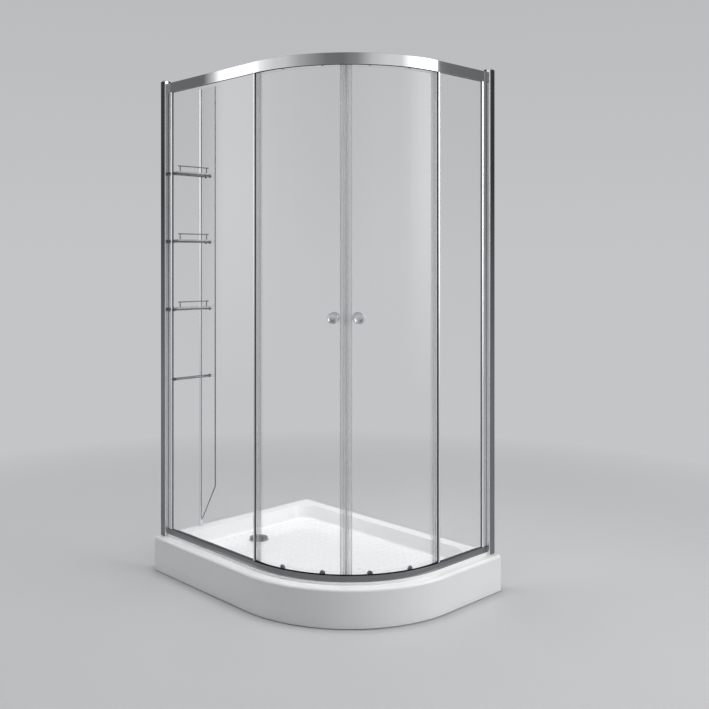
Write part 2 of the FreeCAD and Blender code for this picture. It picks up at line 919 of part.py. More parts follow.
def roller(seat):
    angle, offset, height, bolt_height = roller_seats()[seat]
    bore = axle_radius + running_fit
    face = wheel_radius - wheel_bevel
    profile = [(bore, 0), (face, 0), (wheel_radius, wheel_bevel), (wheel_radius, wheel_width - wheel_bevel),
               (face, wheel_width), (bore, wheel_width)]
    place = vector(arc_x, front_y(plate_inner + offset + seat_gap), height)
    return on_corner(spun(profile, place, inward), angle)


def knob_half(inset, outwards):
    # One side's knob: a dished round grip on a neck and a flange against the glass
    neck_end = knob_flange_height + knob_neck_length
    face = neck_end + knob_depth
    profile = [(0, knob_flange_height / 2), (knob_flange_radius, knob_flange_height / 2),
               (knob_flange_radius, knob_flange_height), (knob_neck_radius, knob_flange_height),
               (knob_neck_radius, neck_end), (knob_radius - knob_edge_round, neck_end),
               (knob_radius, neck_end + knob_edge_round), (knob_radius, face - knob_edge_round),
               (knob_radius - knob_edge_round, face), (knob_radius - knob_rim, face),
               (knob_radius - 2 * knob_rim, face - knob_dish), (0, face - knob_dish)]
    direction = -inward if outwards else inward
    place = vector(arc_x, front_y(inset), tray_height + knob_height)
    return on_corner(spun(profile, place, direction), knob_angle())


def knobs():
    # Outer and inner knob, and the stud that joins them through the glass
    stud = across_glass(knob_stud_radius, knob_angle(), tray_height + knob_height,
                        door_outer - knob_flange_height / 2, door_inner + knob_flange_height / 2)
    return Part.makeCompound([knob_half(door_outer, True), knob_half(door_inner, False), stud])


# Shelf niche: narrow pane square to the side wall, shelves and a bar between it and the fixed glass
niche_outer = glass_inner + niche_space
niche_inner = niche_outer + glass
niche_top = rail_top
jamb_front = groove_outer + slide_fit
jamb_face = groove_inner - slide_fit
rear_bar_place = jamb_web_place - fixing_radius
front_bar_place = jamb_reach + fixing_radius + fixing_clearance


def niche_glass():
    left = wall_x(niche_channel_wall + glass_edge_gap)
    right = wall_x(niche_reach)
    low = tray_height + niche_low
    cut = tray_height + niche_cut_height
    corners = [(left, low), (wall_x(niche_foot_width), low), (right, cut),
               (right, niche_top), (left, niche_top)]
    points = [vector(x, front_y(niche_outer), z) for x, z in corners]
    pane = Part.Face(Part.makePolygon(points + points[:1])).extrude(inward * glass)
    return pane.cut(fixing_holes(rear_bars() + front_bars(), niche_outer, niche_inner))


def niche_channel():
    outer = niche_outer - slide_fit - niche_channel_wall
    inner = niche_inner + slide_fit + niche_channel_wall
    low = tray_height + niche_low + foot_slot
    body = upright((0, niche_channel_depth), (outer, inner), (low, niche_top))
    slot = upright((niche_channel_wall, niche_channel_depth + overrun),
                   (niche_outer - slide_fit, niche_inner + slide_fit), (low - overrun, niche_top + overrun))
    middle = front_y((niche_outer + niche_inner) / 2)
    heights = [low + share * (niche_top - low) for share in niche_hole_shares]
    through = wall_x(niche_channel_wall + overrun)
    holes = []
    for height in heights:
        start = vector(wall_x(-overrun), middle, height)
        holes.append(rod(wall_hole_radius, start, vector(through, middle, height)))
    return body.cut([slot] + holes)


def niche_foot():
    middle = (niche_outer + niche_inner) / 2
    low = tray_height + niche_low
    foot = rod(foot_radius, vector(wall_x(foot_radius), front_y(middle), tray_height),
               vector(wall_x(foot_radius), front_y(middle), low + foot_slot))
    slot = upright((-overrun, 2 * foot_radius + overrun),
                   (niche_outer - slide_fit, niche_inner + slide_fit), (low, low + foot_slot + overrun))
    return foot.cut(slot)


# Bars that span the niche: place from the wall, height, radius and inset of the near end
def rear_bars():
    return [(rear_bar_place, tray_height + height, shelf_rod_radius, jamb_face) for height in shelf_heights]


def front_bars():
    bars = [(front_bar_place, tray_height + height, shelf_rod_radius, glass_inner)
            for height in shelf_heights]
    return bars + [(front_bar_place, tray_height + towel_bar_height, towel_bar_radius, glass_inner)]


def niche_bar(place, height, radius, near):
    return rod(radius, vector(wall_x(place), front_y(near), height),
               vector(wall_x(place), front_y(niche_outer), height))


def fixing_holes(bars, start, stop):
    first = front_y(start - overrun)
    last = front_y(stop + overrun)
    return [rod(fixing_shank_radius + slide_fit, vector(wall_x(place), first, height),
                vector(wall_x(place), last, height)) for place, height, radius, near in bars]


def left_jamb():
    return jamb().cut(fixing_holes(rear_bars(), jamb_front, jamb_face))


def niche_fixing(place, height, inset, shank, direction):
    # Round cap with a shank that passes through glass or jamb and meets the end of its bar
    cap_end = shank + fixing_height
    profile = [(0, 0), (fixing_shank_radius, 0), (fixing_shank_radius, shank), (fixing_radius, shank),
               (fixing_radius, cap_end - fixing_round), (fixing_radius - fixing_round, cap_end), (0, cap_end)]
    return spun(profile, vector(wall_x(place), front_y(inset), height), direction)


def niche_fixings():
    fixings = []
    for place, height, radius, near in front_bars():
        fixings.append(niche_fixing(place, height, glass_inner, glass, -inward))
    for place, height, radius, near in rear_bars():
        fixings.append(niche_fixing(place, height, jamb_face, jamb_face - jamb_front, -inward))
    for place, height, radius, near in rear_bars() + front_bars():
        fixings.append(niche_fixing(place, height, niche_outer, glass, inward))
    return Part.makeCompound(fixings)


def shelf(height):
    # Glass plate on the two bars, between the wall profile and the niche pane
    low = tray_height + height + shelf_rod_radius
    return upright((shelf_gap, shelf_reach), (box_inner + shelf_gap, niche_outer - shelf_gap),
                   (low, low + glass))


def shelf_rail(number):
    # Two bars under the shelf, and a low gallery wire on posts along its free edge
    bars = [niche_bar(*rear_bars()[number]), niche_bar(*front_bars()[number])]
    x = wall_x(shelf_reach - gallery_inset)
    low = tray_height + shelf_heights[number] + shelf_rod_radius + glass
    wire_height = low + gallery_rise
    first = front_y(glass_inner + gallery_post_inset)
    last = front_y(niche_outer - gallery_post_inset)
    posts = [rod(gallery_radius, vector(x, y, low), vector(x, y, wire_height)) for y in (first, last)]
    wire = rod(gallery_radius, vector(x, first - gallery_overhang, wire_height),
               vector(x, last + gallery_overhang, wire_height))
    return Part.makeCompound(bars + [joined([wire] + posts)])


# Every node by its name
nodes = {
    "shower_tray": shower_tray(),
    "base_board": base_board(),
    "front_bearer": bearer(-bearer_spread),
    "back_bearer": bearer(bearer_spread),
    "levelling_feet": levelling_feet(),
    "foot_nuts": foot_nuts(),
    "waste_seal": waste_seal(),
    "waste_flange": waste_flange(),
    "waste_trap": waste_trap(),
    "waste_cover": waste_cover(),
    "left_wall_profile": wall_profile(),
    "right_wall_profile": to_back_wall(wall_profile()),
    "profile_caps": Part.makeCompound([profile_cap(), to_back_wall(profile_cap())]),
    "left_jamb": left_jamb(),
    "right_jamb": to_back_wall(jamb()),
    "left_post": post(),
    "right_post": across_corner(post()),
    "top_rail": top_rail(),
    "bottom_rail": bottom_rail(),
    "rail_end_blocks": rail_end_blocks(),
    "rail_screws": rail_screws(),
    "door_stops": door_stops(),
    "left_fixed_glass": left_fixed_glass(),
    "right_fixed_glass": right_fixed_glass(),
    "glazing_strips": glazing_strips(),
    "niche_glass": niche_glass(),
    "niche_channel": niche_channel(),
    "niche_foot": niche_foot(),
    "niche_fixings": niche_fixings(),
    "towel_bar": niche_bar(*front_bars()[-1]),
}
for number, name in enumerate(shelf_names):
    nodes[name + "_shelf"] = shelf(shelf_heights[number])
    nodes[name + "_shelf_rail"] = shelf_rail(number)

door_pieces = {
    "door_glass": door_glass(),
    "lead_stile": lead_stile(),
    "trail_stile": trail_stile(),
    "magnet_seal": magnet_seal(),
    "trail_seal": trail_seal(),
    "roller_brackets": roller_brackets(),
    "roller_pins": roller_pins(),
    "knobs": knobs(),
    "top_rear_roller": roller(0),
    "top_front_roller": roller(1),
    "bottom_rear_roller": roller(2),
    "bottom_front_roller": roller(3),
}
for name, piece in door_pieces.items():
    nodes["left_" + name] = piece
    nodes["right_" + name] = across_corner(piece)

os.makedirs("parts", exist_ok=True)
for name, piece in nodes.items():
    piece.exportStep("parts/" + name + ".step")
    print(name, len(piece.Solids), "valid" if piece.isValid() else "NOT VALID", round(piece.Volume))
print(len(nodes), "nodes")
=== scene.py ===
import math
import bmesh
import bpy
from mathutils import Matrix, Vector


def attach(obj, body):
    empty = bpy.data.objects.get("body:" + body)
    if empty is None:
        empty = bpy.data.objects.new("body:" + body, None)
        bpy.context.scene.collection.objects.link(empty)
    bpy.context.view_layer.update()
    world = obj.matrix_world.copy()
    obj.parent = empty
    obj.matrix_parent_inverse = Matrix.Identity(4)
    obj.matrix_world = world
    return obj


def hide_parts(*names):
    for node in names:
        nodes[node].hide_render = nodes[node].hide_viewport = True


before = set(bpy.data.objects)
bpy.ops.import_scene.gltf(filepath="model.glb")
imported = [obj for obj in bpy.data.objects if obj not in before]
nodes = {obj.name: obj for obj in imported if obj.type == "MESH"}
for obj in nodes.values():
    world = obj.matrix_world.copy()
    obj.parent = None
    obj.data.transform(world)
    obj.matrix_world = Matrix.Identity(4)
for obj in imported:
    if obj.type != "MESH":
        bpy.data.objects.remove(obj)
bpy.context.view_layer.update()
scene = bpy.context.scene
scene.view_settings.view_transform = "Standard"
print("frame loaded:", len(nodes), "nodes")

perMetre = 1000.0  # outlines are drawn in millimetres
fullTurn = 2 * math.pi
quarterTurn = math.pi / 2
rising = (0.0, 1.0)
falling = (1.0, 0.0)

# Small helpers for node trees


def addNode(tree, kind, **settings):
    node = tree.nodes.new("ShaderNode" + kind)
    for key, value in settings.items():
        setattr(node, key, value)
    return node


def setInputs(node, **values):
    # A space in a socket's name is written as an underscore
    for key, value in values.items():
        node.inputs[key.replace("_", " ")].default_value = value
    return node


def link(tree, start, stop):
    tree.links.new(start, stop)


def newGroup(name, inputs, outputs):
    tree = bpy.data.node_groups.new(name, "ShaderNodeTree")
    for direction, sockets in (("INPUT", inputs), ("OUTPUT", outputs)):
        for label, kind in sockets.items():
            tree.interface.new_socket(label, in_out=direction, socket_type="NodeSocket" + kind)
    return tree, tree.nodes.new("NodeGroupInput"), tree.nodes.new("NodeGroupOutput")


def useGroup(tree, group, **values):
    node = tree.nodes.new("ShaderNodeGroup")
    node.node_tree = group
    return setInputs(node, **values)


def mapValue(tree, value, spread, levels):
    # Carry the spread (low, high) of a value over to the levels (first, last)
    node = addNode(tree, "MapRange", clamp=True)
    link(tree, value, node.inputs["Value"])
    setInputs(node, From_Min=spread[0], From_Max=spread[1], To_Min=levels[0], To_Max=levels[1])
    return node.outputs["Result"]


def mathNode(tree, operation, first, second):
    node = addNode(tree, "Math", operation=operation)
    for socket, value in zip(node.inputs, (first, second)):
        if isinstance(value, (int, float)):
            socket.default_value = value
        else:
            link(tree, value, socket)
    return node.outputs["Value"]


mixSockets = {"share": 0, "colours": slice(6, 8), "result": 2}  # where a mix of two colours has its sockets


def mixColours(tree, mask, first, last):
    node = addNode(tree, "Mix", data_type="RGBA")
    link(tree, mask, node.inputs[mixSockets["share"]])
    for socket, colour in zip(node.inputs[mixSockets["colours"]], (first, last)):
        if isinstance(colour, bpy.types.NodeSocket):
            link(tree, colour, socket)
        else:
            socket.default_value = (*colour, 1)
    return node.outputs[mixSockets["result"]]


def mixShaders(tree, share, first, last):
    # The mix becomes the material's surface
    mix = addNode(tree, "MixShader")
    link(tree, share, mix.inputs["Fac"])
    for socket, shader in zip(mix.inputs[1:], (first, last)):
        link(tree, shader, socket)
    link(tree, mix.outputs["Shader"], tree.nodes["Material Output"].inputs["Surface"])


# Shared surface effects


def makeStretchedNoise():
    # Noise drawn out along an axis: draw lines of extrusions, clouds where the stretch is even
    inputs = {"Stretch": "Vector", "Scale": "Float", "Detail": "Float"}
    tree, source, sink = newGroup("stretchedNoise", inputs, {"Value": "Float"})
    place = addNode(tree, "TexCoord")
    stretch = addNode(tree, "VectorMath", operation="MULTIPLY")
    noise = addNode(tree, "TexNoise")
    link(tree, place.outputs["Object"], stretch.inputs[0])
    link(tree, source.outputs["Stretch"], stretch.inputs[1])
    link(tree, stretch.outputs["Vector"], noise.inputs["Vector"])
    link(tree, source.outputs["Scale"], noise.inputs["Scale"])
    link(tree, source.outputs["Detail"], noise.inputs["Detail"])
    link(tree, noise.outputs["Fac"], sink.inputs["Value"])
    return tree


dropRing = {"band": (0.08, 0.3), "rise": (0.0, 2.0), "fold": 1.0, "patches": 9.0, "patchDetail": 2.0}


def makeDriedDrops():
    # Sparse rings that dried water leaves on bathroom metal and glass
    tree, source, sink = newGroup("driedDrops", {"Scale": "Float", "Share": "Float"}, {"Mask": "Float"})
    place = addNode(tree, "TexCoord")
    cells = addNode(tree, "TexVoronoi")
    patches = setInputs(addNode(tree, "TexNoise"), Scale=dropRing["patches"], Detail=dropRing["patchDetail"])
    link(tree, place.outputs["Object"], cells.inputs["Vector"])
    link(tree, place.outputs["Object"], patches.inputs["Vector"])
    link(tree, source.outputs["Scale"], cells.inputs["Scale"])
    slope = mapValue(tree, cells.outputs["Distance"], dropRing["band"], dropRing["rise"])
    ring = mathNode(tree, "PINGPONG", slope, dropRing["fold"])
    few = mathNode(tree, "LESS_THAN", patches.outputs["Fac"], source.outputs["Share"])
    link(tree, mathNode(tree, "MULTIPLY", ring, few), sink.inputs["Mask"])
    return tree


edgeBand = (0.3, 0.7)  # how squarely a surface faces along the pane's normal, from edge to face


def makePaneEdge():
    # 1 on the ground edges of a pane, 0 on its two faces
    tree, source, sink = newGroup("paneEdge", {"Pane Normal": "Vector"}, {"Mask": "Float"})
    surface = addNode(tree, "NewGeometry")
    dot = addNode(tree, "VectorMath", operation="DOT_PRODUCT")
    link(tree, surface.outputs["True Normal"], dot.inputs[0])
    link(tree, source.outputs["Pane Normal"], dot.inputs[1])
    across = mathNode(tree, "ABSOLUTE", dot.outputs["Value"], 0.0)
    link(tree, mapValue(tree, across, edgeBand, falling), sink.inputs["Mask"])
    return tree


stretchedNoise = makeStretchedNoise()
driedDrops = makeDriedDrops()
paneEdge = makePaneEdge()
print("surface effects ready")


def noiseValue(tree, scale, detail, stretch=(1, 1, 1)):
    group = useGroup(tree, stretchedNoise, Stretch=stretch, Scale=scale, Detail=detail)
    return group.outputs["Value"]


def dropMask(tree, look):
    return useGroup(tree, driedDrops, Scale=look["drops"], Share=look["dropShare"]).outputs["Mask"]


def flakeCells(tree, scale):
    # Small flat cells, each with a colour of its own
    place = addNode(tree, "TexCoord")
    cells = setInputs(addNode(tree, "TexVoronoi"), Scale=scale)
    link(tree, place.outputs["Object"], cells.inputs["Vector"])
    return cells


def cellShade(tree, cells):
    # The cells' colours split into separate values
    shade = addNode(tree, "SeparateColor")
    link(tree, cells.outputs["Color"], shade.inputs["Color"])
    return shade


def newMaterial(name, **plain):
    # A material with its Principled shader, and the plain values that are even all over
    material = bpy.data.materials.new(name)
    material.use_nodes = True
    tree = material.node_tree
    return material, tree, setInputs(tree.nodes["Principled BSDF"], **plain)


def paint(tree, shader, mask, first, last):
    link(tree, mixColours(tree, mask, first, last), shader.inputs["Base Color"])


def roughen(tree, shader, value):
    link(tree, value, shader.inputs["Roughness"])


def bumpFrom(tree, shader, height, look):
    bump = setInputs(addNode(tree, "Bump"), Strength=look["bump"], Distance=look["depth"])
    link(tree, height, bump.inputs["Height"])
    link(tree, bump.outputs["Normal"], shader.inputs["Normal"])


# Metals: the pair called rough is the roughness of the smoothest and of the roughest spots

chromeLook = {"bright": (0.84, 0.85, 0.87), "dull": (0.74, 0.75, 0.78), "rough": (0.045, 0.1),
              "spread": (0.35, 0.7), "clouds": 7.0, "cloudDetail": 4.0, "drops": 70.0, "dropShare": 0.36,
              "stain": 0.12}
# Painted reflection: the shelf rails, towel bar and niche fixings get a dark chrome colour that stands in for
# dark surroundings mirrored in them
barChromePaintedReflectionLook = dict(chromeLook, bright=(0.22, 0.225, 0.235), dull=(0.15, 0.155, 0.165), rough=(0.08, 0.16))
darkChromeLook = dict(chromeLook, bright=(0.3, 0.305, 0.315), dull=(0.2, 0.205, 0.215), rough=(0.12, 0.26))


def addStains(tree, shader, look, base):
    # Dried drops are rougher than the metal round them
    stain = mathNode(tree, "MULTIPLY", dropMask(tree, look), look["stain"])
    roughen(tree, shader, mathNode(tree, "ADD", base, stain))


def makeChrome(name, look):
    material, tree, shader = newMaterial(name, Metallic=1.0)
    cloud = noiseValue(tree, look["clouds"], look["cloudDetail"])
    paint(tree, shader, cloud, look["bright"], look["dull"])
    addStains(tree, shader, look, mapValue(tree, cloud, look["spread"], look["rough"]))
    return material


aluminiumLook = {"bright": (0.88, 0.885, 0.9), "dull": (0.8, 0.805, 0.82), "rough": (0.05, 0.12),
                 "spread": (0.3, 0.7), "lines": 260.0, "lineDetail": 2.0, "clouds": 5.0, "cloudDetail": 3.0,
                 "drops": 55.0, "dropShare": 0.34, "stain": 0.1, "bump": 0.25, "depth": 0.00008}
# Painted reflection: these dark greys stand in for a dark floor and dark surroundings mirrored in the bottom
# rail and the profile covers
paintedReflectionGreys = {"bright": (0.26, 0.265, 0.275), "dull": (0.2, 0.205, 0.215)}
satinLook = dict(aluminiumLook, rough=(0.2, 0.32), depth=0.00004)
greyProfilePaintedReflectionLook = dict(aluminiumLook, **paintedReflectionGreys)
railLook = dict(aluminiumLook, rough=(0.012, 0.035), depth=0.00002)
lowRailPaintedReflectionLook = dict(railLook, **paintedReflectionGreys)
alongRail = (0.01, 0.01, 1)
alongUpright = (1, 1, 0.004)


def makeAluminium(name, look, stretch):
    # Bright dipped extrusions: draw lines run along the length
    material, tree, shader = newMaterial(name, Metallic=1.0)
    lines = noiseValue(tree, look["lines"], look["lineDetail"], stretch)
    cloud = noiseValue(tree, look["clouds"], look["cloudDetail"])
    paint(tree, shader, cloud, look["bright"], look["dull"])
    addStains(tree, shader, look, mapValue(tree, lines, look["spread"], look["rough"]))
    bumpFrom(tree, shader, lines, look)
    return material


zincLook = {"bright": (0.66, 0.67, 0.69), "dull": (0.5, 0.51, 0.53), "rough": (0.28, 0.5), "flakes": 140.0}


def makeZinc(name, look):
    material, tree, shader = newMaterial(name, Metallic=1.0)
    shade = cellShade(tree, flakeCells(tree, look["flakes"]))
    paint(tree, shader, shade.outputs["Red"], look["bright"], look["dull"])
    roughen(tree, shader, mapValue(tree, shade.outputs["Green"], rising, look["rough"]))
    return material


chrome = makeChrome("polishedChrome", chromeLook)
barChromePaintedReflection = makeChrome("barChromePaintedReflection", barChromePaintedReflectionLook)
darkChrome = makeChrome("darkChrome", darkChromeLook)
railMetal = makeAluminium("brightRail", railLook, alongRail)
lowRailPaintedReflection = makeAluminium("lowRail", lowRailPaintedReflectionLook, alongRail)
uprightMetal = makeAluminium("brightUpright", aluminiumLook, alongUpright)
satinUpright = makeAluminium("satinUpright", satinLook, alongUpright)
greyUprightPaintedReflection = makeAluminium("greyUprightPaintedReflection", greyProfilePaintedReflectionLook, alongUpright)
zinc = makeZinc("zincPlate", zincLook)
print("metals ready")

# Tray and plastics

acrylicLook = {"clean": (0.868, 0.868, 0.872), "soft": (0.838, 0.838, 0.844), "rough": (0.12, 0.24),
               "spread": (0.3, 0.75), "clouds": 4.0, "cloudDetail": 5.0, "peel": 190.0, "peelDetail": 1.0,
               "bump": 0.12, "depth": 0.0002, "coat": 0.5, "coatRough": 0.04, "index": 1.49}


def makeAcrylic(name, look):
    material, tree, shader = newMaterial(name, Coat_Weight=look["coat"], Coat_Roughness=look["coatRough"],
                                         IOR=look["index"])
    cloud = noiseValue(tree, look["clouds"], look["cloudDetail"])
    peel = noiseValue(tree, look["peel"], look["peelDetail"])
    paint(tree, shader, cloud, look["clean"], look["soft"])
    roughen(tree, shader, mapValue(tree, cloud, look["spread"], look["rough"]))
    bumpFrom(tree, shader, peel, look)
    return material


mouldedLook = {"spread": (0.3, 0.7), "clouds": 14.0, "cloudDetail": 4.0, "grainDetail": 2.0, "bump": 0.3,
               "depth": 0.0002}
trapLook = dict(mouldedLook, pale=(0.8, 0.8, 0.78), dark=(0.7, 0.7, 0.67), rough=(0.35, 0.55), grain=320.0)
greyLook = dict(mouldedLook, pale=(0.4, 0.41, 0.42), dark=(0.31, 0.32, 0.33), rough=(0.32, 0.5), grain=300.0)
gasketLook = dict(mouldedLook, pale=(0.035, 0.035, 0.037), dark=(0.02, 0.02, 0.022), rough=(0.45, 0.7),
                  grain=420.0, depth=0.0003)
# Painted shade: the post's nose is near-black so that the post's end reads dark
paintedShadeNoseLook = dict(gasketLook, pale=(0.1, 0.1, 0.103), dark=(0.07, 0.07, 0.072), rough=(0.45, 0.65))
siliconeLook = dict(mouldedLook, pale=(0.87, 0.87, 0.865), dark=(0.82, 0.82, 0.81), rough=(0.28, 0.42),
                    grain=90.0, depth=0.0003)
nylonLook = dict(mouldedLook, pale=(0.84, 0.84, 0.81), dark=(0.72, 0.71, 0.67), rough=(0.35, 0.5),
                 grain=260.0, depth=0.0001)


def makeMoulded(name, look):
    # Matt mouldings, rubbers and nylon: cloudy colour and a fine grain
    material, tree, shader = newMaterial(name)
    cloud = noiseValue(tree, look["clouds"], look["cloudDetail"])
    fine = noiseValue(tree, look["grain"], look["grainDetail"])
    paint(tree, shader, cloud, look["pale"], look["dark"])
    roughen(tree, shader, mapValue(tree, fine, look["spread"], look["rough"]))
    bumpFrom(tree, shader, fine, look)
    return material


boardLook = {"pale": (0.68, 0.54, 0.37), "dark": (0.42, 0.3, 0.18), "roughness": 0.8, "chips": 160.0,
             "bump": 0.5, "depth": 0.0006}


def makeChipboard(name, look):
    material, tree, shader = newMaterial(name, Roughness=look["roughness"])
    chips = flakeCells(tree, look["chips"])
    shade = cellShade(tree, chips)
    paint(tree, shader, shade.outputs["Red"], look["pale"], look["dark"])
    bumpFrom(tree, shader, chips.outputs["Distance"], look)
    return material


acrylic = makeAcrylic("whiteAcrylic", acrylicLook)
chipboard = makeChipboard("bondedBoard", boardLook)
trapPlastic = makeMoulded("trapPlastic", trapLook)
greyPlastic = makeMoulded("greyMoulding", greyLook)
blackRubber = makeMoulded("blackGasket", gasketLook)
noseRubberPaintedShade = makeMoulded("noseRubberPaintedShade", paintedShadeNoseLook)
silicone = makeMoulded("whiteSilicone", siliconeLook)
nylon = makeMoulded("rollerNylon", nylonLook)
print("plastics ready")

# Glass and clear seals

paneLook = {"tint": (0.984, 0.99, 0.988), "edge": (0.46, 0.58, 0.54), "shadow": (0.95, 0.96, 0.957),
            "index": 1.5, "film": 0.02, "drops": 42.0, "dropShare": 0.38}
shelfLook = dict(paneLook, edge=(0.64, 0.69, 0.67))


def awayFromCorner(tree, corner):
    # The way a curved pane faces: level, and away from the corner's axis
    place = addNode(tree, "TexCoord")
    away = addNode(tree, "VectorMath", operation="SUBTRACT")
    flat = addNode(tree, "VectorMath", operation="MULTIPLY")
    unit = addNode(tree, "VectorMath", operation="NORMALIZE")
    away.inputs[1].default_value = (*corner, 0)
    flat.inputs[1].default_value = (1, 1, 0)
    link(tree, place.outputs["Object"], away.inputs[0])
    link(tree, away.outputs["Vector"], flat.inputs[0])
    link(tree, flat.outputs["Vector"], unit.inputs[0])
    return unit.outputs["Vector"]


def makePane(name, look, paneNormal=None, corner=None):
    # Clear pane: faint water film, green ground edges, and lamps shine through it
    material, tree, shader = newMaterial(name, Metallic=0.0, Transmission_Weight=1.0, IOR=look["index"])
    edge = useGroup(tree, paneEdge)
    if corner:
        link(tree, awayFromCorner(tree, corner), edge.inputs["Pane Normal"])
    else:
        edge.inputs["Pane Normal"].default_value = paneNormal
    paint(tree, shader, edge.outputs["Mask"], look["tint"], look["edge"])
    roughen(tree, shader, mathNode(tree, "MULTIPLY", dropMask(tree, look), look["film"]))
    clear = setInputs(addNode(tree, "BsdfTransparent"), Color=(*look["shadow"], 1))
    rays = addNode(tree, "LightPath")
    mixShaders(tree, rays.outputs["Is Shadow Ray"], shader.outputs["BSDF"], clear.outputs["BSDF"])
    return material


cornerAxis = (0.05, 0.1)  # middle of the round corner, in plan
frontPane = makePane("frontPane", paneLook, paneNormal=(0, 1, 0))
endPane = makePane("endPane", paneLook, paneNormal=(1, 0, 0))
shelfPane = makePane("shelfPane", shelfLook, paneNormal=(0, 0, 1))
bentPane = makePane("bentPane", paneLook, corner=cornerAxis)

clearStripLook = {"first": (0.8, 0.81, 0.815), "last": (0.66, 0.675, 0.685), "alpha": (0.1, 0.18),
                  "rough": (0.26, 0.44), "spread": (0.3, 0.7), "lines": 300.0, "lineDetail": 2.0,
                  "stretch": (1, 1, 0.01), "index": 1.5}
magnetLook = dict(clearStripLook, first=(0.85, 0.85, 0.86), last=(0.74, 0.745, 0.75), alpha=(0.86, 0.95))


def makeSeal(name, look):
    # Extruded vinyl: see-through where it is thin, with faint lines along its length
    material, tree, shader = newMaterial(name, IOR=look["index"])
    lines = noiseValue(tree, look["lines"], look["lineDetail"], look["stretch"])
    paint(tree, shader, lines, look["first"], look["last"])
    roughen(tree, shader, mapValue(tree, lines, look["spread"], look["rough"]))
    link(tree, mapValue(tree, lines, look["spread"], look["alpha"]), shader.inputs["Alpha"])
    return material


clearStrip = makeSeal("clearStrip", clearStripLook)
magnetStrip = makeSeal("magnetStrip", magnetLook)
print("glass ready")

# Which node takes which finish; the first word found in a node's name decides

finishes = [
    ("shower_tray", acrylic), ("base_board", chipboard), ("bearer", zinc), ("levelling_feet", zinc),
    ("foot_nuts", zinc), ("rail_screws", zinc), ("waste_trap", trapPlastic), ("waste_seal", blackRubber),
    ("waste_cover", darkChrome), ("waste_", chrome), ("rail_end_blocks", greyPlastic),
    ("profile_caps", greyPlastic), ("door_stops", blackRubber), ("glazing_strips", blackRubber),
    ("magnet_seal", magnetStrip), ("trail_seal", clearStrip), ("_stile", clearStrip),
    ("roller_brackets", zinc), ("roller_pins", zinc), ("_roller", nylon), ("knobs", chrome),
    ("shelf_rail", barChromePaintedReflection), ("towel_bar", barChromePaintedReflection), ("niche_fixings", barChromePaintedReflection), ("niche_foot", chrome),
    ("door_glass", bentPane), ("right_fixed_glass", endPane), ("glass", frontPane), ("_shelf", shelfPane),
    # the bottom rail's dark colour is a painted reflection of a dark floor
    ("top_rail", railMetal), ("bottom_rail", lowRailPaintedReflection),
]


def finishOf(name):
    for word, material in finishes:
        if word in name:
            return material
    return uprightMetal


for name, node in nodes.items():
    node.data.materials.clear()
    node.data.materials.append(finishOf(name))
print("finishes given to", len(nodes), "nodes")

# Small helpers for meshes


def circleTurns(count):
    return [fullTurn * step / count for step in range(count)]


def joinRings(mesh, lower, upper):
    # Faces between two closed rings of points; a point that repeats leaves a triangle
    count = len(lower)
    for step in range(count):
        following = (step + 1) % count
        corners = (lower[step], lower[following], upper[following], upper[step])
        mesh.faces.new(tuple(dict.fromkeys(corners)))


def meshObject(name, mesh, material, smooth=True, crease=None):
    data = bpy.data.meshes.new(name)
    mesh.to_mesh(data)
    mesh.free()
    data.materials.append(material)
    if smooth:
        data.shade_smooth()
    if crease:  # keep edges sharper than this angle
        data.set_sharp_from_angle(angle=math.radians(crease))
    piece = bpy.data.objects.new(name, data)
    scene.collection.objects.link(piece)
    return piece


# Raised studs that keep feet from slipping on the tray's floor, in metres

studs = {"pitch": 0.04, "radius": 0.008, "height": 0.0014, "floor": 0.09, "sink": 0.0004, "segments": 20,
         "rings": 5, "low": (-0.49, -0.45), "high": (0.45, 0.36), "bend": 0.372, "wasteClear": 0.072,
         "cornerClear": 0.055}
waste = (-0.405, -0.02)  # middle of the drain, in plan


def onBasinFloor(x, y):
    bendX, bendY = cornerAxis
    if x > bendX and y < bendY:
        inside = math.hypot(x - bendX, y - bendY) < studs["bend"]
    else:
        inside = x < bendX + studs["bend"] and y > bendY - studs["bend"]
    cutX = max(studs["low"][0] + studs["cornerClear"] - x, 0)
    cutY = max(y - studs["high"][1] + studs["cornerClear"], 0)
    inCorner = math.hypot(cutX, cutY) < studs["cornerClear"]
    return inside and inCorner and math.hypot(x - waste[0], y - waste[1]) > studs["wasteClear"]


def addStud(mesh, x, y):
    rows = []
    for ring in range(studs["rings"]):
        slope = quarterTurn * ring / studs["rings"]
        radius = studs["radius"] * math.cos(slope)
        z = studs["floor"] - studs["sink"] + (studs["height"] + studs["sink"]) * math.sin(slope)
        rows.append([mesh.verts.new((x + radius * math.cos(turn), y + radius * math.sin(turn), z))
                     for turn in circleTurns(studs["segments"])])
    top = mesh.verts.new((x, y, studs["floor"] + studs["height"]))
    rows.append([top] * studs["segments"])
    for lower, upper in zip(rows, rows[1:]):
        joinRings(mesh, lower, upper)
    mesh.faces.new(list(reversed(rows[0])))


def makeStuds():
    mesh = bmesh.new()
    columns = int((studs["high"][0] - studs["low"][0]) / studs["pitch"])
    rows = int((studs["high"][1] - studs["low"][1]) / studs["pitch"])
    for column in range(columns + 1):
        for row in range(rows + 1):
            x = studs["low"][0] + studs["pitch"] * column
            y = studs["low"][1] + studs["pitch"] * row
            if onBasinFloor(x, y):
                addStud(mesh, x, y)
    piece = meshObject("trayStuds", mesh, acrylic)
    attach(piece, "enclosure")
    print("tray studs:", len(piece.data.vertices), "points")


makeStuds()

# Door knobs, turned in one piece with a dished face; outlines are radius and height out from the glass,
# in millimetres, and the places of the knobs are in metres and degrees

